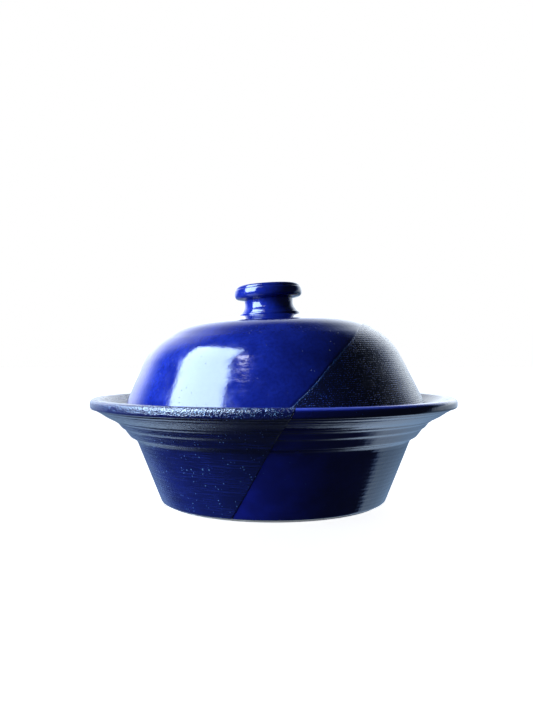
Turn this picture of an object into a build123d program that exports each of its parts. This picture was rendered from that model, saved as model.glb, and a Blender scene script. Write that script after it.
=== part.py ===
from build123d import *

import os

# Lidded stoneware bowl. Millimetres, +Z up, origin at the centre of the foot's resting face.
# Radii and heights below are of the bare clay; the glaze coats lie on top of it.

# Bowl clay
FOOT_RADIUS = 78.0
FOOT_EDGE_RADIUS = 1.0
FOOT_RECESS_RADIUS = 69.0
FOOT_RECESS_DEPTH = 2.5
FOOT_RECESS_BEVEL = 2.0
WALL_FOOT_RADIUS = 82.0
WALL_FOOT_HEIGHT = 3.6
WALL_FOOT_ROUND = 4.0
THROAT_RADIUS = 99.0
THROAT_HEIGHT = 46.2
THROAT_ROUND = 11.0
FLARE_ROLL_RADIUS = 109.8
FLARE_ROLL_HEIGHT = 56.0
FLARE_ROLL_ROUND = 4.0
FLARE_GROOVE_RADIUS = 112.8
FLARE_GROOVE_HEIGHT = 59.8
FLARE_GROOVE_ROUND = 2.0
LIP_RADIUS = 131.8
LIP_TOP = 75.3
LIP_BAND_HEIGHT = 5.4
LIP_OVERHANG = 2.8
LIP_UNDERCUT = 0.6
LIP_ROUND = 2.2
LIP_LOWER_ROUND = 1.2
LIP_INNER_RADIUS = 126.4
GALLERY_OUTER_RADIUS = 112.5
GALLERY_CORNER_ROUND = 1.0
GALLERY_INNER_RADIUS = 101.0
GALLERY_HEIGHT = 65.5
GALLERY_EDGE_ROUND = 1.2
FLOOR_HEIGHT = 9.5
FLOOR_RADIUS = 78.6
FLOOR_CORNER_ROUND = 14.0

# Lid clay. Heights are above the seat; the dome and knob lean together, the seat does not.
LID_LEAN = 2.0
SEAT_OUTER_RADIUS = 110.4
SEAT_INNER_RADIUS = 102.2
SEAT_RING_HEIGHT = 4.0
SEAT_RING_ROUND = 1.0
DOME_BASE_RADIUS = 109.2
DOME_BASE_HEIGHT = 3.5
DOME_SHOULDER = (88.0, 48.6)
DOME_SHOULDER_ROUND = 44.0
DOME_BROW = (66.1, 63.3)
DOME_BROW_ROUND = 42.0
DOME_CROWN_HEIGHT = 72.8
CROWN_FLAT_RADIUS = 6.0
DOME_SKIRT_DEPTH = 8.0
DOME_WALL = 6.0

# Knob clay, heights above the seat. It leans a little further than the dome, about its root.
KNOB_LEAN = 1.7
KNOB_ROOT_HEIGHT = 67.5
COLLAR_RADIUS = 21.7
COLLAR_TOP = 72.2
COLLAR_ROUND = 0.7
NECK_FOOT_RADIUS = 20.7
NECK_RADIUS = 17.2
NECK_HEIGHT = 77.6
NECK_ROUND = 9.0
CAP_NECK_RADIUS = 17.5
CAP_UNDERSIDE = 82.9
CAP_RADIUS = 24.2
CAP_LOWER_EDGE = 84.4
CAP_UPPER_EDGE = 89.9
CAP_ROUND = 2.4
CAP_BEVEL_RADIUS = 22.4
CAP_BEVEL_HEIGHT = 92.5
CAP_BEVEL_ROUND = 1.8
CAP_TOP = 93.7
CAP_FLAT_RADIUS = 4.0

# Glaze coats
FIRST_DIP = 0.6
SECOND_DIP = 0.8
LINER_COAT = 0.6
FOOT_BARE_HEIGHT = 2.0
FLARE_GLAZE_END = 67.0
MID_WALL = [(80.0, 8.0), (95.5, 44.0), (106.0, 58.0)]
MID_FLARE_RADIUS = 116.5
MID_GALLERY_RADIUS = 103.0
LINER_TOP = 64.0
LID_GLAZE_START = 4.8
LID_LINER_START = 6.0

# Each pair of dips meets on a slanting plane that runs straight back along Y
BOWL_DIP_X = 12.0
BOWL_DIP_HEIGHT = 74.0
BOWL_DIP_RUN_PER_RISE = 0.535
LID_DIP_X = 11.8
LID_DIP_HEIGHT = 75.0
LID_DIP_RUN_PER_RISE = 0.955

# Zone outlines reach this far past the clay, and run through the middle of its wall
OUTSIDE = 160.0
ABOVE = 130.0
PAST_AXIS = -20.0


def filled(points, radii):
    """Half-section in the XZ plane with its corners rounded by the matching radii."""
    outline = FilletPolyline(*points, radius=radii, close=True)
    return Plane.XZ * make_face(outline)


def zone(*points):
    """Region of the half-section used to keep one stretch of a coat."""
    return Plane.XZ * make_face(Polyline(*points, close=True))


def coat(section, thickness):
    """Skin of even thickness all round a clay section."""
    return offset(section, amount=thickness, kind=Kind.ARC) - section


def turned(section):
    """Solid turned about the vertical axis from the part of a section at positive X."""
    half = zone((0, -ABOVE), (OUTSIDE, -ABOVE), (OUTSIDE, ABOVE), (0, ABOVE))
    return revolve(section & half, axis=Axis.Z, revolution_arc=360)


def right_of(x, height, run_per_rise):
    """Block that fills everything right of and below a dip's surface through (x, height)."""
    surface = Plane(origin=(x, 0, height), x_dir=(0, 1, 0), z_dir=(1, 0, -run_per_rise))
    reach = 2 * OUTSIDE
    return surface * Box(reach, reach, reach, align=(Align.CENTER, Align.CENTER, Align.MIN))


def bowl_section():
    """Half-section of the bowl's clay, from the axis round the outside and back inside."""
    lip_base = LIP_TOP - LIP_BAND_HEIGHT
    corners = [
        ((0, FOOT_RECESS_DEPTH), 0),
        ((FOOT_RECESS_RADIUS - FOOT_RECESS_BEVEL, FOOT_RECESS_DEPTH), 0),
        ((FOOT_RECESS_RADIUS, 0), 0),
        ((FOOT_RADIUS, 0), FOOT_EDGE_RADIUS),
        ((WALL_FOOT_RADIUS, WALL_FOOT_HEIGHT), WALL_FOOT_ROUND),
        ((THROAT_RADIUS, THROAT_HEIGHT), THROAT_ROUND),
        ((FLARE_ROLL_RADIUS, FLARE_ROLL_HEIGHT), FLARE_ROLL_ROUND),
        ((FLARE_GROOVE_RADIUS, FLARE_GROOVE_HEIGHT), FLARE_GROOVE_ROUND),
        ((LIP_RADIUS - LIP_OVERHANG, lip_base - LIP_UNDERCUT), 0),
        ((LIP_RADIUS, lip_base), LIP_LOWER_ROUND),
        ((LIP_RADIUS, LIP_TOP), LIP_ROUND),
        ((LIP_INNER_RADIUS, LIP_TOP), LIP_ROUND),
        ((GALLERY_OUTER_RADIUS, GALLERY_HEIGHT), GALLERY_CORNER_ROUND),
        ((GALLERY_INNER_RADIUS, GALLERY_HEIGHT), GALLERY_EDGE_ROUND),
        ((FLOOR_RADIUS, FLOOR_HEIGHT), FLOOR_CORNER_ROUND),
        ((0, FLOOR_HEIGHT), 0),
    ]
    return filled([point for point, _ in corners], [radius for _, radius in corners])


def dome_envelope():
    """Section of everything under the dome's outer face, skirt included, drawn past the axis."""
    corners = [
        ((PAST_AXIS, -DOME_SKIRT_DEPTH), 0),
        ((DOME_BASE_RADIUS, -DOME_SKIRT_DEPTH), 0),
        ((DOME_BASE_RADIUS, DOME_BASE_HEIGHT), 0),
        (DOME_SHOULDER, DOME_SHOULDER_ROUND),
        (DOME_BROW, DOME_BROW_ROUND),
        ((CROWN_FLAT_RADIUS, DOME_CROWN_HEIGHT), 0),
        ((PAST_AXIS, DOME_CROWN_HEIGHT), 0),
    ]
    return filled([point for point, _ in corners], [radius for _, radius in corners])


def knob_section():
    """Section of the knob, rooted inside the crown and drawn past the axis."""
    corners = [
        ((PAST_AXIS, KNOB_ROOT_HEIGHT), 0),
        ((COLLAR_RADIUS, KNOB_ROOT_HEIGHT), 0),
        ((COLLAR_RADIUS, COLLAR_TOP), COLLAR_ROUND),
        ((NECK_FOOT_RADIUS, COLLAR_TOP), 0),
        ((NECK_RADIUS, NECK_HEIGHT), NECK_ROUND),
        ((CAP_NECK_RADIUS, CAP_UNDERSIDE), 0),
        ((CAP_RADIUS, CAP_LOWER_EDGE), CAP_ROUND),
        ((CAP_RADIUS, CAP_UPPER_EDGE), CAP_ROUND),
        ((CAP_BEVEL_RADIUS, CAP_BEVEL_HEIGHT), CAP_BEVEL_ROUND),
        ((CAP_FLAT_RADIUS, CAP_TOP), 0),
        ((PAST_AXIS, CAP_TOP), 0),
    ]
    return filled([point for point, _ in corners], [radius for _, radius in corners])


def tilted(knob):
    """Lean the knob, or its coat, about its root."""
    return Pos(0, 0, KNOB_ROOT_HEIGHT) * Rot(0, -KNOB_LEAN, 0) * Pos(0, 0, -KNOB_ROOT_HEIGHT) * knob


def on_seat(solid):
    """Lean a piece of the lid about the seat's centre and put it on the gallery."""
    return Pos(0, 0, GALLERY_HEIGHT) * Rot(0, -LID_LEAN, 0) * solid


def above(solid, height):
    """Part of a solid above a level plane."""
    return split(solid, bisect_by=Plane.XY.offset(height), keep=Keep.TOP)


def bowl_nodes():
    """Clay and glaze coats of the bowl, by node name."""
    clay = bowl_section()
    wall_line = [*MID_WALL, (MID_FLARE_RADIUS, FLARE_GLAZE_END)]
    outside = zone(
        (FOOT_RECESS_RADIUS, FOOT_BARE_HEIGHT),
        (OUTSIDE, FOOT_BARE_HEIGHT),
        (OUTSIDE, ABOVE),
        (GALLERY_INNER_RADIUS, ABOVE),
        (GALLERY_INNER_RADIUS, FLARE_GLAZE_END),
        *reversed(wall_line),
    )
    inside = zone(
        (0, FLOOR_HEIGHT / 2),
        (FLOOR_RADIUS, FLOOR_HEIGHT / 2),
        MID_WALL[1],
        (MID_GALLERY_RADIUS, LINER_TOP),
        (0, LINER_TOP),
    )
    right_side = right_of(BOWL_DIP_X, BOWL_DIP_HEIGHT, BOWL_DIP_RUN_PER_RISE)
    first = turned(coat(clay, FIRST_DIP) & outside)
    second = turned(coat(clay, SECOND_DIP) & outside)
    return {
        "bowl_body": turned(clay),
        "bowl_liner_glaze": turned(coat(clay, LINER_COAT) & inside),
        "bowl_gloss_glaze": first & right_side,
        "bowl_satin_glaze": second - right_side,
    }


def lid_nodes():
    """Clay and glaze coats of the lid, by node name."""
    envelope = dome_envelope()
    mouth = DOME_BASE_RADIUS - DOME_WALL
    below = zone((PAST_AXIS, -DOME_SKIRT_DEPTH), (mouth, -DOME_SKIRT_DEPTH), (mouth, 0), (PAST_AXIS, 0))
    hollow = offset(envelope, amount=-DOME_WALL, kind=Kind.ARC) + below
    lined = offset(hollow, amount=-LINER_COAT, kind=Kind.ARC)
    knob = knob_section()
    dome_solid = turned(envelope)
    knob_solid = tilted(turned(knob))
    clay = dome_solid + knob_solid

    def coated(thickness):
        """The outer coat of dome and knob together, on the leaning lid."""
        dome_skin = turned(offset(envelope, amount=thickness, kind=Kind.ARC))
        knob_skin = tilted(turned(offset(knob, amount=thickness, kind=Kind.ARC)))
        return on_seat(dome_skin + knob_skin - clay)

    ring_section = filled(
        [
            (SEAT_INNER_RADIUS, GALLERY_HEIGHT),
            (SEAT_OUTER_RADIUS, GALLERY_HEIGHT),
            (SEAT_OUTER_RADIUS, GALLERY_HEIGHT + SEAT_RING_HEIGHT),
            (SEAT_INNER_RADIUS, GALLERY_HEIGHT + SEAT_RING_HEIGHT),
        ],
        [SEAT_RING_ROUND] * 4,
    )
    shell = above(on_seat(turned(envelope - hollow)), GALLERY_HEIGHT)
    glaze_start = GALLERY_HEIGHT + LID_GLAZE_START
    gloss = above(coated(FIRST_DIP), glaze_start)
    matt = above(coated(SECOND_DIP), glaze_start)
    right_side = right_of(LID_DIP_X, LID_DIP_HEIGHT, LID_DIP_RUN_PER_RISE)
    return {
        "lid_dome": shell + turned(ring_section),
        "lid_knob": on_seat(knob_solid - dome_solid),
        "lid_liner_glaze": above(on_seat(turned(hollow - lined)), GALLERY_HEIGHT + LID_LINER_START),
        "lid_gloss_glaze": gloss - right_side,
        "lid_matt_glaze": matt & right_side,
    }


os.makedirs("parts", exist_ok=True)
for name, solid in {**bowl_nodes(), **lid_nodes()}.items():
    export_step(solid, f"parts/{name}.step")
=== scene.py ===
import math

import bmesh
import bpy
import numpy as np
from mathutils import Euler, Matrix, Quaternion, Vector


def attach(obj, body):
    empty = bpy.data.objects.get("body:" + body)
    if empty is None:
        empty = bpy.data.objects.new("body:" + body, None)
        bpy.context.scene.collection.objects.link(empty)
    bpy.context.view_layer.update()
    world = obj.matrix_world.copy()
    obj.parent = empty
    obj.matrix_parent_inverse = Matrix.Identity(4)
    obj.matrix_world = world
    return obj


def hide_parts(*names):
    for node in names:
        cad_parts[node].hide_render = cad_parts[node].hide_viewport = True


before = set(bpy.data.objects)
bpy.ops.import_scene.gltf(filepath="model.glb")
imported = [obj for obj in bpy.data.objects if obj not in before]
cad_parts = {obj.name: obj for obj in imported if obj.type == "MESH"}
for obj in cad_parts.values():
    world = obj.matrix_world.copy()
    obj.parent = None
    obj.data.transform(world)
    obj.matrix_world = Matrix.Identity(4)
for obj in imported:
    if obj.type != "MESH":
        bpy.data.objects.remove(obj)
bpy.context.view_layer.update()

MM = 0.001

# ---------------------------------------------------------------- sizes, in millimetres
# The turned outlines: each corner with its rounding radius. They follow the CAD model's clay,
# but the lid's side bulges slightly more.
GALLERY_HEIGHT = 65.5
LID_LEAN = math.radians(2.0)
KNOB_LEAN = math.radians(1.7)
KNOB_ROOT_HEIGHT = 67.5
KNOB_TILT_FROM, KNOB_TILT_TO = 70.4, 72.2
FOOT_BARE = 2.0

BOWL_OUTLINE = [
    ((80.0, 0.0), 0.0),
    ((82.0, 3.6), 4.0),
    ((99.0, 46.2), 11.0),
    ((109.8, 56.0), 4.0),
    ((112.8, 59.8), 2.0),
    ((129.0, 69.3), 0.4),
    ((131.8, 69.9), 1.2),
    ((131.8, 75.3), 2.2),
    ((126.4, 75.3), 2.2),
    ((112.5, 65.5), 1.0),
    ((101.0, 65.5), 1.2),
    ((78.6, 9.5), 14.0),
    ((0.0, 9.5), 0.0),
]
LID_OUTLINE = [
    ((109.2, 0.0), 0.0),
    ((109.2, 3.5), 2.0),
    ((100.5, 23.0), 90.0),
    ((88.0, 48.6), 44.0),
    ((66.1, 63.3), 42.0),
    ((21.7, 70.3), 0.5),
    ((21.7, 72.2), 0.6),
    ((20.7, 72.2), 0.2),
    ((17.2, 77.6), 9.0),
    ((17.5, 82.9), 0.7),
    ((24.2, 84.4), 2.2),
    ((24.2, 89.9), 2.4),
    ((22.4, 92.5), 1.8),
    ((4.0, 93.7), 0.0),
    ((0.0, 93.7), 0.0),
]
LID_INSIDE = [
    ((0.0, 66.8), 0.0),
    ((64.2, 57.6), 36.0),
    ((83.0, 44.6), 38.0),
    ((103.2, 3.5), 2.0),
    ((103.2, -6.0), 0.0),
]

ROW_STEP = 0.5
SEGMENTS = 420
SUNK = 0.12
CREST_ROWS = 5
CREST_BEND = 0.45
DIP_EDGE_FADE = 1.1
SHARP_EDGE = math.radians(50)

# Coats of glaze. The lid's coats are thinnest where the two dips meet.
FIRST_DIP = 0.6
SECOND_DIP = 0.8
LINER_COAT = 0.6
COAT_EDGE = 0.8
LIP_SAVING = 0.09
LID_MEETING = 0.35
LID_FIRST_RISE = 0.24
LID_SECOND_RISE = 0.30

# Rolls (+) and grooves (-) of the bowl's outside: height, half width, how far they stand out.
BOWL_ROLLS = [
    (69.4, 0.45, -0.45),
    (67.4, 0.28, -0.30),
    (61.6, 0.35, -0.45),
    (64.6, 1.60, 0.22),
    (50.4, 1.70, 0.70),
    (54.8, 1.20, -0.45),
    (46.6, 0.90, -0.18),
]
LIP_FROM, LIP_FULL = 69.5, 71.0
CAP_GROOVE_HEIGHT, CAP_BAND_HEIGHT = 90.6, 87.2

# Where the bowl's coats end inside it, and where the lid's begin above its seat.
OUTER_COAT_END, LINER_START = 67.0, 64.0
LID_GLAZE_FLOOR = GALLERY_HEIGHT + 4.8
LID_LINER_FLOOR = GALLERY_HEIGHT + 6.0
BEFORE_OUTLINE = -5.0

# The wavy dip lines: a point on each plane and its normal.
BOWL_DIP = ((12.0, 0.0, 74.0), (1.0, 0.0, -0.535))
LID_DIP = ((11.8, 0.0, 75.0), (1.0, 0.0, -0.955))
DIP_LOOPS = (0.15, 0.4, 0.8, 1.3)


# ---------------------------------------------------------------- outline and mesh tools
def rounded(outline, step):
    """Evenly spaced points along an outline of (corner, radius), and their distances along it."""
    corners = [np.array(point) for point, _ in outline]
    path = [corners[0]]
    for i in range(1, len(corners) - 1):
        before, here, after = corners[i - 1], corners[i], corners[i + 1]
        radius = outline[i][1]
        u = (before - here) / np.linalg.norm(before - here)
        v = (after - here) / np.linalg.norm(after - here)
        turn = math.acos(np.clip(np.dot(u, v), -1, 1))
        if radius <= 0 or turn > math.pi - 1e-3:
            path.append(here)
            continue
        reach = radius / math.tan(turn / 2)
        bisector = (u + v) / np.linalg.norm(u + v)
        centre = here + bisector * radius / math.sin(turn / 2)
        start = here + u * reach - centre
        end = here + v * reach - centre
        first = math.atan2(start[1], start[0])
        sweep = (math.atan2(end[1], end[0]) - first + math.pi) % (2 * math.pi) - math.pi
        count = max(4, int(abs(sweep) * radius / step * 2))
        for k in range(count + 1):
            a = first + sweep * k / count
            path.append(centre + radius * np.array([math.cos(a), math.sin(a)]))
    path.append(corners[-1])
    path = np.array(path)
    length = np.concatenate([[0], np.cumsum(np.hypot(*np.diff(path, axis=0).T))])
    keep = np.concatenate([[True], np.diff(length) > 1e-9])
    path, length = path[keep], length[keep]
    even = np.linspace(0, length[-1], int(length[-1] / step) + 1)
    return np.stack([np.interp(even, length, path[:, k]) for k in (0, 1)], axis=1), even


def section(path, along, start, end):
    """The rows of an outline between two distances along it, both ends exact."""
    inside = along[(along > start + 0.05) & (along < end - 0.05)]
    rows = np.concatenate([[start], inside, [end]])
    return np.stack([np.interp(rows, along, path[:, k]) for k in (0, 1)], axis=1), rows


def reaches(path, along, height, rising=True):
    """Distance along the outline where it first passes that height, going up or down."""
    z = path[:, 1]
    for i in range(len(z) - 1):
        if (z[i] < height <= z[i + 1]) if rising else (z[i] > height >= z[i + 1]):
            t = (height - z[i]) / (z[i + 1] - z[i])
            return along[i] + t * (along[i + 1] - along[i])
    raise ValueError("the outline does not reach that height")


def waves(scale, count, seed):
    """A smooth seeded random field over 3-D points, about -1 to 1, with features of that size."""
    rng = np.random.default_rng(seed)
    direction = rng.normal(size=(count, 3))
    direction /= np.linalg.norm(direction, axis=1)[:, None]
    rate = direction * (2 * math.pi / (scale * rng.uniform(0.7, 1.6, count)))[:, None]
    phase = rng.uniform(0, 2 * math.pi, count)

    def field(points):
        return np.sin(points @ rate.T + phase).sum(axis=1) / math.sqrt(count)

    return field


def bell(x, centre, width):
    return np.exp(-(((x - centre) / width) ** 2))


def smooth(x, low, high):
    t = np.clip((x - low) / (high - low), 0, 1)
    return t * t * (3 - 2 * t)


def edge_round(distance, width):
    """Rounded edge of a coat: 0 at its end, 1 a width further in."""
    t = np.clip(distance / width, 0, 1)
    return np.sqrt(1 - (1 - t) ** 2)


def turned_grid(path, segments):
    angle = np.arange(segments) * 2 * math.pi / segments
    rows = len(path)
    x = np.outer(path[:, 0], np.cos(angle))
    y = np.outer(path[:, 0], np.sin(angle))
    z = np.repeat(path[:, 1], segments).reshape(rows, segments)
    points = np.stack([x, y, z], axis=-1).reshape(-1, 3)
    i = np.arange(rows - 1)[:, None] * segments
    j = np.arange(segments)[None, :]
    k = (j + 1) % segments
    faces = np.stack([i + j, i + k, i + segments + k, i + segments + j], axis=-1).reshape(-1, 4)
    return points, faces


def lean_by(vectors, angle, about):
    """Vectors turned about the Y axis through (0, 0, about), towards -X; angle may differ per row."""
    c, s = np.cos(angle), np.sin(angle)
    x, y, z = vectors[:, 0], vectors[:, 1], vectors[:, 2] - about
    return np.stack([c * x - s * z, y, s * x + c * z + about], axis=1)


def leaned(vectors, heights=None):
    """Lid points turned into the row frame; with heights, directions at those heights of the lid."""
    z = vectors[:, 2] if heights is None else heights
    knob = KNOB_LEAN * smooth(z, KNOB_TILT_FROM, KNOB_TILT_TO)
    if heights is None:
        in_lid = lean_by(lean_by(vectors, knob, KNOB_ROOT_HEIGHT), LID_LEAN, 0.0)
        return in_lid + [0, 0, GALLERY_HEIGHT]
    return lean_by(lean_by(vectors, knob, 0.0), LID_LEAN, 0.0)


def shell(
    name, body, stands_for, material, path, along, thickness, on_lid=False, cuts=(), dip=None
):
    """A coat of glaze on a turned outline: a closed skin whose outer face thickness() raises.

    cuts are (point, normal, loops): the part on the normal's side is kept, with extra edge loops
    at those distances from the cut. dip is the wavy cut: (point, normal, wave field, loops).
    """
    points, faces = turned_grid(path, SEGMENTS)
    arc = np.repeat(along, SEGMENTS)
    turn = np.arctan2(points[:, 1], points[:, 0])
    if on_lid:
        points = leaned(points)
    warp = np.zeros_like(points)
    if dip:
        dip_point, dip_normal = np.array(dip[0]), np.array(dip[1]) / np.linalg.norm(dip[1])
        warp = dip_normal * dip[2](points)[:, None]
    bm = bmesh.new()
    arc_layer = bm.verts.layers.float.new("arc")
    cos_layer = bm.verts.layers.float.new("cos")
    sin_layer = bm.verts.layers.float.new("sin")
    at_axis = np.repeat(path[:, 0] < 1e-6, SEGMENTS)
    made = []
    for i, p in enumerate(points + warp):
        if at_axis[i] and i % SEGMENTS:
            made.append(made[i - i % SEGMENTS])
            continue
        v = bm.verts.new(p)
        v[arc_layer] = arc[i]
        v[cos_layer] = math.cos(turn[i])
        v[sin_layer] = math.sin(turn[i])
        made.append(v)
    for face in faces:
        corners = list(dict.fromkeys(made[k] for k in face))
        bm.faces.new(corners)
    planes = [(np.array(p), np.array(n) / np.linalg.norm(n), loops) for p, n, loops in cuts]
    if dip:
        planes.append((dip_point, dip_normal, dip[3]))
    for where, normal, loops in planes:
        for offset in (0.0, *loops):
            bmesh.ops.bisect_plane(
                bm,
                geom=bm.verts[:] + bm.edges[:] + bm.faces[:],
                dist=1e-4,
                plane_co=Vector(where + normal * offset),
                plane_no=Vector(normal),
                clear_inner=offset == 0.0,
            )
    bmesh.ops.delete(bm, geom=[v for v in bm.verts if not v.link_faces], context="VERTS")
    bm.verts.index_update()
    bm.verts.ensure_lookup_table()
    points = np.array([v.co[:] for v in bm.verts])
    arc = np.array([v[arc_layer] for v in bm.verts])
    cos = np.array([v[cos_layer] for v in bm.verts])
    sin = np.array([v[sin_layer] for v in bm.verts])
    polygons = [[v.index for v in f.verts] for f in bm.faces]
    rim = [
        (side.vert.index, side.link_loop_next.vert.index)
        for edge in bm.edges
        if len(edge.link_faces) == 1
        for side in edge.link_loops
    ]
    bm.free()
    distance = np.full(len(points), 1e3)
    if dip:
        distance = (points - dip_point) @ dip_normal
        points = points - dip_normal * dip[2](points)[:, None]
    for where, normal, _ in planes[: len(cuts)]:
        distance = np.minimum(distance, (points - where) @ normal)
    distance = np.maximum(distance, 0)
    tangent = np.gradient(path, along, axis=0)
    radial = np.interp(arc, along, tangent[:, 1])
    upward = np.interp(arc, along, -tangent[:, 0])
    size = np.hypot(radial, upward)
    length = np.maximum(np.hypot(cos, sin), 1e-6)
    normal = np.stack([radial * cos / length, radial * sin / length, upward], axis=1) / size[:, None]
    if on_lid:
        normal = leaned(normal, np.interp(arc, along, path[:, 1]))
    depth = thickness(points, arc, distance)
    count = len(points)
    polygons += [[v + count for v in reversed(p)] for p in polygons]
    polygons += [[b, a, a + count, b + count] for a, b in rim]
    vertices = np.concatenate([points + normal * depth[:, None], points - normal * SUNK])
    mesh = bpy.data.meshes.new(name)
    mesh.from_pydata((vertices * MM).tolist(), [], polygons)
    bend = np.gradient(np.unwrap(np.arctan2(tangent[:, 1], tangent[:, 0])), along)
    kernel = np.hanning(CREST_ROWS + 2)[1:-1]
    padded = np.pad(bend, CREST_ROWS // 2, mode="edge")
    bend = np.convolve(padded, kernel / kernel.sum(), mode="valid")
    crest = np.clip(np.interp(arc, along, bend) / CREST_BEND, -1, 1)
    for label, values in (("crest", crest), ("dip_edge", np.exp(-distance / DIP_EDGE_FADE))):
        layer = mesh.attributes.new(label, "FLOAT", "POINT")
        layer.data.foreach_set("value", np.concatenate([values, values]).astype(np.float32))
    mesh.validate()
    mesh.shade_smooth()
    mesh.set_sharp_from_angle(angle=SHARP_EDGE)
    obj = bpy.data.objects.new(name, mesh)
    bpy.context.scene.collection.objects.link(obj)
    mesh.materials.append(material)
    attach(obj, body)
    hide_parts(stands_for)
    return obj


# ---------------------------------------------------------------- materials
class Nodes:
    """Short calls for the nodes of one tree. An input may be a number, a colour or a socket."""

    def __init__(self, tree):
        self.tree = tree

    def set_input(self, node, key, value):
        if isinstance(value, bpy.types.NodeSocket):
            self.tree.links.new(value, node.inputs[key])
        else:
            node.inputs[key].default_value = value

    def node(self, kind, inputs=(), **settings):
        made = self.tree.nodes.new(kind)
        for key, value in settings.items():
            setattr(made, key, value)
        for key, value in dict(inputs).items():
            self.set_input(made, key, value)
        return made

    def ramp(self, value, low, high, out_low=0.0, out_high=1.0, interpolation="SMOOTHSTEP"):
        inputs = {
            "Value": value, "From Min": low, "From Max": high, "To Min": out_low, "To Max": out_high
        }
        made = self.node("ShaderNodeMapRange", inputs, interpolation_type=interpolation)
        return made.outputs["Result"]

    def linear(self, value, low, high, out_low=0.0, out_high=1.0):
        return self.ramp(value, low, high, out_low, out_high, "LINEAR")

    def mix(self, factor, a, b):
        made = self.node("ShaderNodeMix", data_type="RGBA")
        for index, value in ((0, factor), (6, a), (7, b)):
            self.set_input(made, index, value)
        return made.outputs[2]

    def math(self, operation, a, b=0.0):
        return self.node("ShaderNodeMath", {0: a, 1: b}, operation=operation).outputs["Value"]

    def times(self, a, b):
        return self.math("MULTIPLY", a, b)


class Material(Nodes):
    """A Principled material with short calls for its patterns, which run over object coordinates."""

    def __init__(self, name, **sockets):
        self.material = bpy.data.materials.new(name)
        self.material.use_nodes = True
        super().__init__(self.material.node_tree)
        self.shader = self.tree.nodes["Principled BSDF"]
        for key, value in sockets.items():
            self.shader.inputs[key.replace("_", " ")].default_value = value
        self.place = self.node("ShaderNodeTexCoord").outputs["Object"]

    def stretched(self, scale, rotation=(0, 0, 0)):
        inputs = {"Vector": self.place, "Scale": scale, "Rotation": rotation}
        return self.node("ShaderNodeMapping", inputs).outputs["Vector"]

    def noise(self, scale, detail=2.0, vector=None, roughness=0.5):
        """Cloudy noise from 0 to 1, with about that many features to the metre."""
        inputs = {
            "Vector": vector or self.place, "Scale": scale, "Detail": detail, "Roughness": roughness
        }
        return self.node("ShaderNodeTexNoise", inputs).outputs["Fac"]

    def spots(self, scale, vector=None):
        """Distance from the nearest of scattered points, about that many to the metre."""
        inputs = {"Vector": vector or self.place, "Scale": scale}
        return self.node("ShaderNodeTexVoronoi", inputs).outputs["Distance"]

    def dots(self, scale, full, edge, vector=None):
        """Scattered round dots: 1 out to the distance full, 0 from the distance edge."""
        return self.ramp(self.spots(scale, vector), full, edge, 1.0, 0.0)

    def height(self):
        return self.node("ShaderNodeSeparateXYZ", {0: self.place}).outputs["Z"]

    def bump(self, height, distance, before=None):
        inputs = {"Height": height, "Distance": distance, "Strength": 1.0}
        if before is not None:
            inputs["Normal"] = before
        return self.node("ShaderNodeBump", inputs).outputs["Normal"]

    def attribute(self, name):
        return self.node("ShaderNodeAttribute", attribute_name=name).outputs["Fac"]

    def finish(self, **links):
        for key, value in links.items():
            self.tree.links.new(value, self.shader.inputs[key.replace("_", " ")])
        return self.material


def clay():
    """Pale bare stoneware with brown grog specks."""
    m = Material("bare_clay", Roughness=0.85)
    base = m.mix(m.noise(260.0, 4.0), (0.60, 0.57, 0.53, 1), (0.74, 0.71, 0.67, 1))
    grog = m.dots(900.0, 0.16, 0.3)
    base = m.mix(m.times(grog, 0.4), base, (0.40, 0.34, 0.29, 1))
    normal = m.bump(m.noise(1400.0, 3.0), 0.0002)
    return m.finish(Base_Color=base, Normal=normal)


def rows_of_beads(m, spacing, cell, lean):
    """Fine turned rows with beads of glaze along them, 0 to 1, and the rows alone. The beads also
    mask a painted glint.
    """
    wave = {
        "Vector": m.stretched((1.0, 1.0, 1.0), (0, lean, 0)),
        "Scale": 2 * math.pi / (20 * spacing),
        "Distortion": 1.2,
        "Detail": 2.0,
        "Detail Scale": 6.0,
    }
    rows = m.node("ShaderNodeTexWave", wave, wave_type="BANDS", bands_direction="Z").outputs["Fac"]
    beads_and_glints = m.dots(1 / cell, 0.12, 0.42, m.stretched((1.0, 1.0, 1.3), (0, lean, 0)))
    return m.times(m.ramp(rows, 0.25, 0.8), beads_and_glints), rows


def cobalt_gloss():
    """Bright cobalt, mottled darker, with small pits and a milkier blue on its edges."""
    m = Material("cobalt_gloss_glaze", IOR=1.5)
    cloud = m.ramp(m.noise(70.0, 4.0), 0.35, 0.7)
    base = m.mix(cloud, (0.0028, 0.0066, 0.088, 1), (0.0038, 0.0095, 0.120, 1))
    mottle = m.ramp(m.noise(520.0, 3.0), 0.40, 0.66)
    base = m.mix(m.times(mottle, 0.4), base, (0.0012, 0.003, 0.04, 1))
    pit = m.times(m.dots(330.0, 0.03, 0.10), m.ramp(m.noise(80.0, 2.0), 0.50, 0.62))
    base = m.mix(m.times(pit, 0.8), base, (0.0008, 0.0012, 0.008, 1))
    crest = m.ramp(m.attribute("crest"), 0.1, 0.9)
    base = m.mix(m.times(crest, 0.4), base, (0.006, 0.010, 0.085, 1))
    rough = m.ramp(m.noise(140.0, 4.0), 0.3, 0.7, 0.07, 0.16)
    normal = m.bump(m.noise(420.0, 4.0, roughness=0.55), 0.00006)
    normal = m.bump(m.math("SUBTRACT", 1.0, pit), 0.00025, before=normal)
    return m.finish(Base_Color=base, Roughness=rough, Normal=normal)


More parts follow.
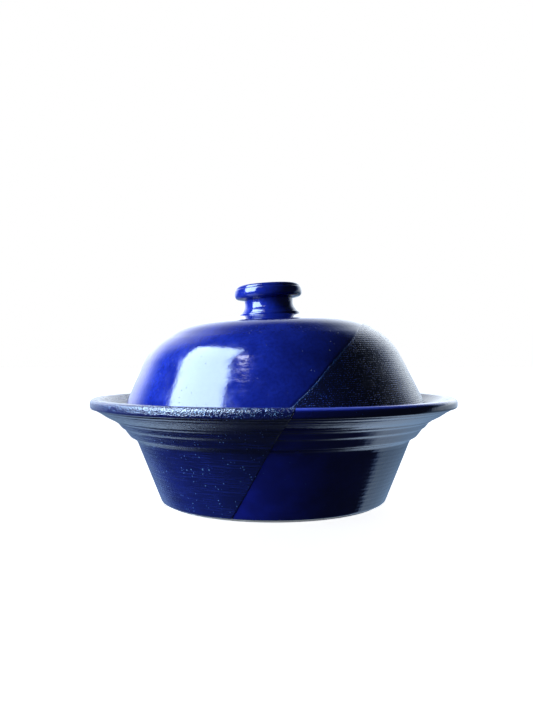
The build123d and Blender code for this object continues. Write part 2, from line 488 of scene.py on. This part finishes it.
def navy_matt():
    """Near-black navy with rows of fine beads, their bright blue a painted glint, and a teal fleck
    along the dip line.
    """
    m = Material("navy_matt_glaze", IOR=1.5)
    beads_and_glints, rows = rows_of_beads(m, 0.0013, 0.0009, LID_LEAN)
    patch = m.ramp(m.noise(95.0, 3.0), 0.25, 0.60)
    base = m.mix(m.noise(60.0, 3.0), (0.0018, 0.0024, 0.012, 1), (0.0035, 0.005, 0.028, 1))
    # Painted glint: the beads' bright blue stands in for catch-lights; their bumps below are real.
    base = m.mix(m.times(beads_and_glints, patch), base, (0.035, 0.09, 0.45, 1))
    pale = m.times(m.dots(520.0, 0.05, 0.13), m.ramp(m.noise(210.0, 2.0), 0.54, 0.62))
    base = m.mix(pale, base, (0.08, 0.20, 0.38, 1))
    fleck = m.ramp(m.noise(1500.0, 3.0), 0.42, 0.62)
    line = m.times(m.ramp(m.attribute("dip_edge"), 0.1, 0.9), fleck)
    base = m.mix(m.times(line, 0.45), base, (0.015, 0.06, 0.18, 1))
    rough = m.ramp(m.noise(500.0, 3.0), 0.3, 0.7, 0.13, 0.22)
    height = m.math("ADD", m.times(rows, 0.5), m.times(beads_and_glints, 0.8))
    normal = m.bump(height, 0.00016)
    normal = m.bump(m.noise(1300.0, 3.0), 0.00012, before=normal)
    return m.finish(Base_Color=base, Roughness=rough, Normal=normal)


def navy_gloss():
    """Deep glossy navy: darker on the lip's face, with a painted highlight in paler blue on its top
    edge, and a few flecks.
    """
    m = Material("navy_gloss_glaze", IOR=1.5)
    cloud = m.ramp(m.noise(60.0, 3.0), 0.35, 0.7)
    base = m.mix(cloud, (0.0036, 0.0056, 0.088, 1), (0.0052, 0.0084, 0.132, 1))
    height = m.height()
    lip_face = m.times(m.ramp(height, 0.068, 0.070), m.ramp(height, 0.0738, 0.0748, 1.0, 0.0))
    base = m.mix(m.times(lip_face, 0.8), base, (0.0012, 0.0018, 0.02, 1))
    # Painted highlight: a paler blue along the lip's top edge, where it faces up.
    crest = m.times(m.ramp(m.attribute("crest"), 0.55, 1.0), m.ramp(height, 0.0742, 0.0752))
    base = m.mix(m.times(crest, 0.7), base, (0.03, 0.045, 0.22, 1))
    fleck = m.times(m.dots(260.0, 0.04, 0.12), m.ramp(m.noise(120.0, 2.0), 0.52, 0.6))
    base = m.mix(m.times(fleck, 0.5), base, (0.03, 0.07, 0.2, 1))
    rough = m.ramp(m.noise(120.0, 3.0), 0.3, 0.7, 0.06, 0.12)
    normal = m.bump(m.noise(220.0, 3.0), 0.00010)
    return m.finish(Base_Color=base, Roughness=rough, Normal=normal)


def cobalt_satin():
    """Satin blue in fine level streaks, with painted glints as pale stars, a painted greyish
    reflection on the crests, and a dark lip with painted sparkles.
    """
    m = Material("cobalt_satin_glaze", IOR=1.6)
    streak = m.noise(1.0, 4.0, m.stretched((45.0, 45.0, 1100.0)))
    cloud = m.ramp(m.noise(55.0, 4.0), 0.35, 0.68)
    base = m.mix(cloud, (0.0024, 0.0042, 0.038, 1), (0.0034, 0.0060, 0.054, 1))
    base = m.mix(m.ramp(streak, 0.50, 0.66, 0.0, 0.55), base, (0.007, 0.012, 0.085, 1))
    # Painted reflection: the crests of the rolls turn a greyer mauve, standing in for reflected warm
    # light.
    crest = m.ramp(m.attribute("crest"), 0.15, 0.9)
    base = m.mix(m.times(crest, 0.35), base, (0.014, 0.014, 0.06, 1))
    height = m.height()
    lip = m.ramp(height, 0.0690, 0.0705)
    base = m.mix(m.times(lip, 0.7), base, (0.0015, 0.003, 0.03, 1))
    # Painted glints: pale sparkles on the lip's upper band stand in for the window's reflection.
    painted_lip_glint = m.times(m.dots(1250.0, 0.22, 0.42), m.ramp(m.noise(420.0, 3.0), 0.40, 0.56))
    painted_lip_glint = m.times(painted_lip_glint, m.ramp(height, 0.0702, 0.0722))
    base = m.mix(painted_lip_glint, base, (0.12, 0.18, 0.26, 1))
    # Painted glints: pale stars that stand in for specks of reflected light.
    painted_star_glint = m.times(m.dots(430.0, 0.09, 0.18), m.ramp(m.noise(110.0, 3.0), 0.48, 0.58))
    base = m.mix(painted_star_glint, base, (0.09, 0.17, 0.28, 1))
    rough = m.ramp(m.noise(420.0, 3.0), 0.3, 0.7, 0.10, 0.22)
    rough = m.times(rough, m.ramp(lip, 0.0, 1.0, 1.0, 0.6))
    off_lip = m.math("SUBTRACT", 1.0, m.times(lip, 0.6))
    normal = m.bump(m.times(streak, off_lip), 0.00022)
    normal = m.bump(m.times(m.noise(900.0, 3.0), off_lip), 0.00025, before=normal)
    normal = m.bump(m.times(m.spots(1150.0), lip), 0.00025, before=normal)
    return m.finish(Base_Color=base, Roughness=rough, Normal=normal)


def liner():
    """Soft dark blue inside both pieces."""
    m = Material("liner_glaze", IOR=1.5)
    cloud = m.ramp(m.noise(45.0, 4.0), 0.35, 0.7)
    base = m.mix(cloud, (0.006, 0.011, 0.06, 1), (0.012, 0.02, 0.1, 1))
    rough = m.ramp(m.noise(90.0, 3.0), 0.3, 0.7, 0.10, 0.2)
    normal = m.bump(m.noise(260.0, 3.0), 0.00015)
    return m.finish(Base_Color=base, Roughness=rough, Normal=normal)


CLAY = clay()
COBALT_GLOSS = cobalt_gloss()
NAVY_MATT = navy_matt()
NAVY_GLOSS = navy_gloss()
COBALT_SATIN = cobalt_satin()
LINER = liner()

for node in ("bowl_body", "lid_dome", "lid_knob"):
    clay_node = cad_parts[node]
    clay_node.data.materials.clear()
    clay_node.data.materials.append(CLAY)


# ---------------------------------------------------------------- the bowl's glazes
bowl_path, bowl_along = rounded(BOWL_OUTLINE, ROW_STEP)
foot_line = reaches(bowl_path, bowl_along, FOOT_BARE)
outer_end = reaches(bowl_path, bowl_along, OUTER_COAT_END, rising=False)
liner_start = reaches(bowl_path, bowl_along, LINER_START, rising=False)
outer_path, outer_along = section(bowl_path, bowl_along, foot_line, outer_end)
liner_path, liner_along = section(bowl_path, bowl_along, liner_start, bowl_along[-1])

swell = waves(70.0, 8, 4)
dip_wave = waves(40.0, 8, 8)


def ring_heights(arc, spacing, seed):
    """Throwing rings: small irregular ridges along the outline."""
    rng = np.random.default_rng(seed)
    total = np.zeros_like(arc)
    for k, weight in ((1.0, 0.5), (1.7, 0.3), (2.9, 0.25)):
        drift = rng.uniform(0, 6.28) + 0.8 * np.sin(arc / 23.0 * k)
        total += weight * np.sin(2 * math.pi * arc * k / spacing + drift)
    return total


def bowl_relief(points, arc):
    """Rolls, grooves and throwing rings left in the outside of the bowl, in millimetres."""
    height = points[:, 2]
    relief = 0.03 * ring_heights(arc + 0.4 * swell(points), 3.1, 11)
    relief += 0.05 * swell(points)
    for centre, half_width, amount in BOWL_ROLLS:
        relief += amount * bell(height, centre, half_width)
    return relief * (1 - 0.85 * smooth(height, LIP_FROM, LIP_FULL))


def bowl_fade(arc):
    """0 at both ends of the bowl's outer coats, 1 from 3 mm inside them."""
    return smooth(arc, foot_line, foot_line + 3) * smooth(outer_end - arc, 0, 3)


def ends(arc, width=COAT_EDGE):
    return edge_round(arc - foot_line, width) * edge_round(outer_end - arc, width)


def bowl_first(points, arc, distance):
    return FIRST_DIP * ends(arc) + bowl_relief(points, arc) * bowl_fade(arc)


def bowl_second(points, arc, distance):
    lip = smooth(points[:, 2], LIP_FROM, LIP_FULL)
    base = SECOND_DIP * ends(arc) * edge_round(distance, 0.7)
    base += 0.05 * bell(distance, 0.9, 0.6) * ends(arc, 2.0)
    base -= LIP_SAVING * lip
    rough = 0.04 * ring_heights(arc + 0.6 * swell(points), 1.7, 5) * (1 - 0.85 * lip)
    return base + (bowl_relief(points, arc) + rough) * bowl_fade(arc) * smooth(distance, 0, 1.2)


def liner_from(first):
    """The thickness of a liner coat whose edge lies at that distance along the outline."""

    def depth(points, arc, distance):
        coat = LINER_COAT * edge_round(arc - first, COAT_EDGE)
        return coat + 0.03 * swell(points) * smooth(arc, first, first + 3)

    return depth


def bowl_line(points):
    return 0.35 * dip_wave(points)


def flipped(dip):
    """The same dip plane, facing the other way."""
    return dip[0], tuple(-n for n in dip[1])


shell(
    "bowl_gloss_glaze_coat", "bowl", "bowl_gloss_glaze", NAVY_GLOSS,
    outer_path, outer_along, bowl_first,
    dip=(*BOWL_DIP, bowl_line, ()),
)
shell(
    "bowl_satin_glaze_coat", "bowl", "bowl_satin_glaze", COBALT_SATIN,
    outer_path, outer_along, bowl_second,
    dip=(*flipped(BOWL_DIP), lambda points: -bowl_line(points), DIP_LOOPS),
)
shell(
    "bowl_liner_glaze_coat", "bowl", "bowl_liner_glaze", LINER,
    liner_path, liner_along, liner_from(liner_start),
)

# ---------------------------------------------------------------- the lid's glazes
lid_path, lid_along = rounded(LID_OUTLINE, ROW_STEP)
lid_inner_path, lid_inner_along = rounded(LID_INSIDE, ROW_STEP)
cap_groove = reaches(lid_path, lid_along, CAP_GROOVE_HEIGHT)
cap_band = reaches(lid_path, lid_along, CAP_BAND_HEIGHT)
lid_swell = waves(60.0, 8, 14)


def lid_relief(points, arc):
    rings = ring_heights(arc + 0.4 * lid_swell(points), 6.0, 21)
    return 0.010 * rings + 0.05 * lid_swell(points)


def lid_first(points, arc, distance):
    cap = 0.25 * bell(arc, cap_band, 1.7) - 0.45 * bell(arc, cap_groove, 0.40)
    base = LID_MEETING + LID_FIRST_RISE * edge_round(distance, COAT_EDGE)
    return base + lid_relief(points, arc) * smooth(distance, 0, 3) + cap


def lid_second(points, arc, distance):
    base = LID_MEETING + LID_SECOND_RISE * edge_round(distance, 1.0)
    rough = 0.04 * ring_heights(arc + 0.5 * lid_swell(points), 1.5, 31)
    return base + (lid_relief(points, arc) + rough) * smooth(distance, 0, 1.5)


def lid_line(points):
    return 0.3 * dip_wave(points)


def level_cut(height):
    """Keeps what is above that height."""
    return (0.0, 0.0, height), (0.0, 0.0, 1.0), (0.3, 0.8)


shell(
    "lid_gloss_glaze_coat", "lid", "lid_gloss_glaze", COBALT_GLOSS,
    lid_path, lid_along, lid_first, on_lid=True, cuts=(level_cut(LID_GLAZE_FLOOR),),
    dip=(*flipped(LID_DIP), lambda points: -lid_line(points), ()),
)
shell(
    "lid_matt_glaze_coat", "lid", "lid_matt_glaze", NAVY_MATT,
    lid_path, lid_along, lid_second, on_lid=True, cuts=(level_cut(LID_GLAZE_FLOOR),),
    dip=(*LID_DIP, lid_line, DIP_LOOPS),
)
shell(
    "lid_liner_glaze_coat", "lid", "lid_liner_glaze", LINER,
    lid_inner_path, lid_inner_along, liner_from(BEFORE_OUTLINE), on_lid=True,
    cuts=(level_cut(LID_LINER_FLOOR),),
)

# ---------------------------------------------------------------- floor, lights and camera
FLOOR_HALF = 9
AIM = Vector((0, 0, 0.1))
DAYLIGHT = (0.62, 0.82, 1.0)
WHITE = (1.0, 1.0, 1.0, 1)

BOWL_PIECES = (
    "bowl_body", "bowl_gloss_glaze_coat", "bowl_satin_glaze_coat", "bowl_liner_glaze_coat"
)
LID_PIECES = (
    "lid_dome", "lid_knob", "lid_gloss_glaze_coat", "lid_matt_glaze_coat", "lid_liner_glaze_coat"
)

# The surround is a wall behind the pot. It begins, and is fully bright, at these Y of a direction:
# ((low, level) on the right of the pot, (low, level, high) on its left).
WALL_START = ((0.20, 0.38), (0.45, 0.38, 0.18))
WALL_FULL = ((0.34, 0.80), (0.84, 0.80, 0.45))
WALL_RADIANCE = 2.6
WALL_EDGE_TINT = (0.3, 0.5, 1.0, 1)
ROOM_IN_FRONT = (0.03, 0.04, 0.065, 1)

# The wall's colour from straight down (0) over the horizon (0.5) to straight up (1).
WALL_COLOURS = [
    (0.00, (0.01, 0.01, 0.02)),
    (0.07, (0.03, 0.04, 0.06)),
    (0.15, (0.42, 0.55, 0.75)),
    (0.27, (0.20, 0.30, 0.45)),
    (0.40, (0.06, 0.10, 0.165)),
    (0.50, (0.36, 0.43, 0.53)),
    (0.60, (0.82, 0.90, 1.00)),
    (0.71, (0.80, 0.88, 1.00)),
    (0.82, (0.42, 0.47, 0.56)),
    (0.92, (0.10, 0.11, 0.13)),
    (1.00, (0.03, 0.035, 0.05)),
]


def pale_floor():
    mesh = bpy.data.meshes.new("floor")
    half = FLOOR_HALF
    corners = [(-half, -half, 0), (half, -half, 0), (half, half, 0), (-half, half, 0)]
    mesh.from_pydata(corners, [], [(0, 1, 2, 3)])
    floor = bpy.data.objects.new("floor", mesh)
    bpy.context.scene.collection.objects.link(floor)
    m = Material("floor_paint", Roughness=0.9, Emission_Color=WHITE, Emission_Strength=0.92)
    base = m.mix(m.noise(3.0, 3.0), (0.86, 0.86, 0.86, 1), (0.9, 0.9, 0.9, 1))
    mesh.materials.append(m.finish(Base_Color=base))
    floor.visible_glossy = False
    floor.visible_diffuse = False


def area_light(name, azimuth, elevation, distance, size, power, colour, roll=0.0):
    """A soft box facing the pot; azimuth is from -Y towards +X, in degrees."""
    a, e = math.radians(azimuth), math.radians(elevation)
    towards = Vector((math.sin(a) * math.cos(e), -math.cos(a) * math.cos(e), math.sin(e)))
    lamp = bpy.data.lights.new(name, "AREA")
    lamp.shape = "RECTANGLE"
    lamp.size, lamp.size_y = size
    lamp.energy = power
    lamp.color = colour
    obj = bpy.data.objects.new(name, lamp)
    obj.location = AIM + towards * distance
    obj.rotation_mode = "QUATERNION"
    rolled = Quaternion((0, 0, 1), math.radians(roll))
    obj.rotation_quaternion = towards.to_track_quat("Z", "Y") @ rolled
    bpy.context.scene.collection.objects.link(obj)
    return obj


def window(*where, **settings):
    """A soft box that shows in the glaze but adds no even light."""
    area_light(*where, **settings).visible_diffuse = False


def glow(pieces, *where):
    """Even light on those pieces only, which doesn't show in the glaze."""
    light = area_light(*where)
    light.visible_glossy = False
    receivers = bpy.data.collections.new(light.name + "_receivers")
    for name in pieces:
        receivers.objects.link(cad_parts.get(name) or bpy.data.objects[name])
    light.light_linking.receiver_collection = receivers


def wall_edge(nodes, left, level, high, edge):
    """The Y at which the wall begins or is full, in the direction that left, level and high give."""
    (right_low, right_level), (left_low, left_level, left_high) = edge
    on_right = nodes.linear(level, 0.0, 1.0, right_low, right_level)
    on_left = nodes.linear(level, 0.0, 1.0, left_low, left_level)
    on_left = nodes.linear(high, 0.0, 1.0, on_left, left_high)
    return nodes.linear(left, 0.0, 1.0, on_right, on_left)


def surround():
    """What the glaze mirrors: a dim room in front, a bright wall behind. The camera sees white."""
    world = bpy.data.worlds.new("studio")
    bpy.context.scene.world = world
    world.use_nodes = True
    nodes = Nodes(world.node_tree)
    nodes.tree.nodes.clear()
    direction = nodes.node("ShaderNodeTexCoord").outputs["Generated"]
    parts = nodes.node("ShaderNodeSeparateXYZ", {0: direction}).outputs
    left = nodes.linear(parts["X"], 0.0, -0.5)
    level = nodes.linear(parts["Z"], -0.1, 0.2)
    high = nodes.linear(parts["Z"], 0.45, 0.75)
    start = wall_edge(nodes, left, level, high, WALL_START)
    full = wall_edge(nodes, left, level, high, WALL_FULL)
    behind = nodes.ramp(parts["Y"], start, full)
    wall = nodes.node("ShaderNodeValToRGB", {0: nodes.linear(parts["Z"], -1.0, 1.0)})
    stops = wall.color_ramp.elements
    while len(stops) < len(WALL_COLOURS):
        stops.new(0.5)
    for stop, (position, colour) in zip(stops, WALL_COLOURS):
        stop.position = position
        stop.color = (*colour, 1)
    scaled = {0: wall.outputs["Color"], 3: WALL_RADIANCE}
    bright = nodes.node("ShaderNodeVectorMath", scaled, operation="SCALE").outputs[0]
    tinted = {0: bright, 1: nodes.mix(behind, WALL_EDGE_TINT, WHITE)}
    bright = nodes.node("ShaderNodeVectorMath", tinted, operation="MULTIPLY").outputs[0]
    mirrored = nodes.mix(behind, ROOM_IN_FRONT, bright)
    to_camera = nodes.node("ShaderNodeLightPath").outputs["Is Camera Ray"]
    seen = nodes.mix(to_camera, mirrored, WHITE)
    background = nodes.node("ShaderNodeBackground", {"Color": seen, "Strength": 1.0})
    nodes.node("ShaderNodeOutputWorld", {"Surface": background.outputs[0]})


def turned(*angles):
    """A turn of that many degrees about X, Y and Z."""
    return Euler([math.radians(a) for a in angles]).to_quaternion()


def photo_camera():
    """Half a metre in front of the pot, just above its rim, nearly level."""
    data = bpy.data.cameras.new("camera")
    data.sensor_width = 36.0
    data.lens = 35.44
    camera = bpy.data.objects.new("camera", data)
    bpy.context.scene.collection.objects.link(camera)
    camera.location = (0.0, -0.521, 0.1022)
    camera.rotation_mode = "QUATERNION"
    camera.rotation_quaternion = turned(0, 0, 0.55) @ turned(90.45, 0, 0) @ turned(0, 0, -0.13)
    bpy.context.scene.camera = camera


pale_floor()
window("window", -67.4, 32.0, 1.6, (1.15, 1.80), 155.0, DAYLIGHT, roll=14.0)
glow(LID_PIECES, "lid_glow", -73.0, 12.0, 1.6, (0.9, 0.9), 205.0, DAYLIGHT)
glow(BOWL_PIECES, "bowl_glow", -74.0, 28.0, 1.6, (1.2, 1.2), 180.0, DAYLIGHT)
window("small_window", -33.0, 50.0, 1.6, (0.17, 0.12), 2.0, (0.85, 0.88, 1.0))
glow(BOWL_PIECES, "low_fill", -50.0, 6.0, 1.4, (0.8, 0.5), 3.2, (0.75, 0.85, 1.0))
glow(("bowl_body",), "foot_light", -5.0, 3.0, 1.2, (1.2, 0.3), 6.0, (0.85, 0.92, 1.0))
surround()
photo_camera()
bpy.context.scene.view_settings.view_transform = "Standard"
